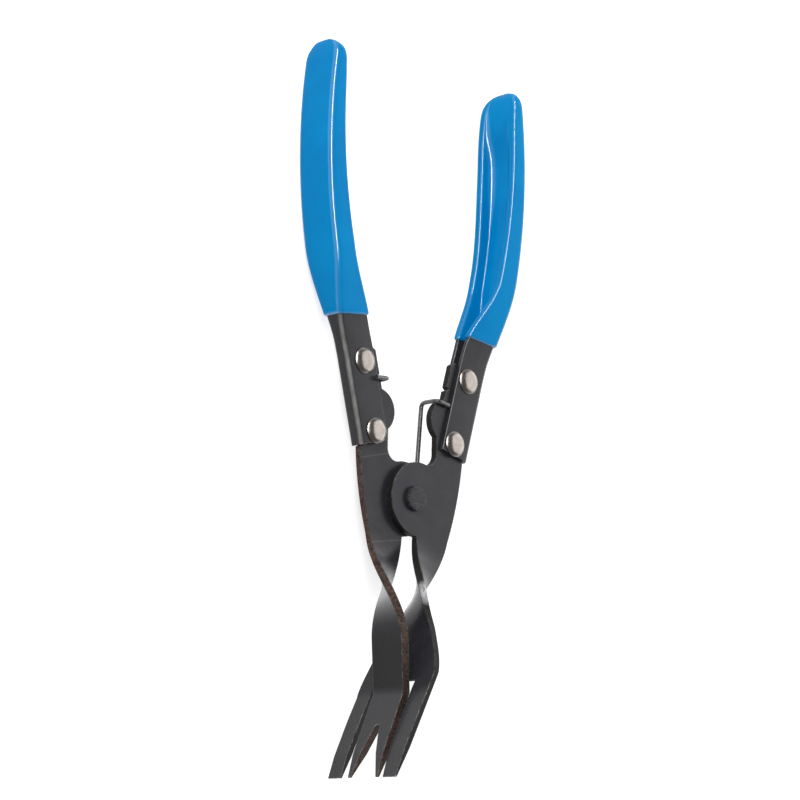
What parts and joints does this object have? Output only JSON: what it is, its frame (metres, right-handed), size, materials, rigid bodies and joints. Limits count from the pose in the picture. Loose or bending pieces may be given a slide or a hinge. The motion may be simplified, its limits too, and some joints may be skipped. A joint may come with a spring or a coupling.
{
  "type": "trim clip removal pliers",
  "caption": "Spring-loaded pliers with dipped grips and twisted, bent, nested fork jaws that spread when squeezed, to lever out push-in trim clips.",
  "frame": {"origin": "middle of the bounding box, on the plane that the wide fork's lower tine touches when the tool lies flat", "axes": "+Y from the fork tips towards the grips, +Z along the pivot rivet towards its peened head, +X towards the handle of the wide fork"},
  "size_m": [0.091, 0.2396, 0.0318],
  "materials": {
    "black_steel": "satin black oxide",
    "blue_vinyl": "glossy dipped vinyl",
    "bright_steel": "plated, slightly dull",
    "spring_steel": "drawn dark wire"
  },
  "bodies": {
    "right_half": {"right_jaw": "black_steel", "right_handle": "black_steel", "right_grip": "blue_vinyl", "right_upper_rivet": "bright_steel", "right_lower_rivet": "bright_steel", "pivot_rivet": "black_steel", "return_spring": "spring_steel"},
    "left_half": {"left_jaw": "black_steel", "left_handle": "black_steel", "left_grip": "blue_vinyl", "left_upper_rivet": "bright_steel", "left_lower_rivet": "bright_steel"}
  },
  "joints": [
    {"name": "squeeze", "type": "hinge", "parent": "right_half", "child": "left_half", "pos_m": [0, -0.02827, 0.01611], "axis": [0, 0, -1], "range_deg": [0, 29], "stiffness_Nm_per_rad": 1.5, "springref_deg": -5.73, "deforming": ["return_spring"]}
  ]
}
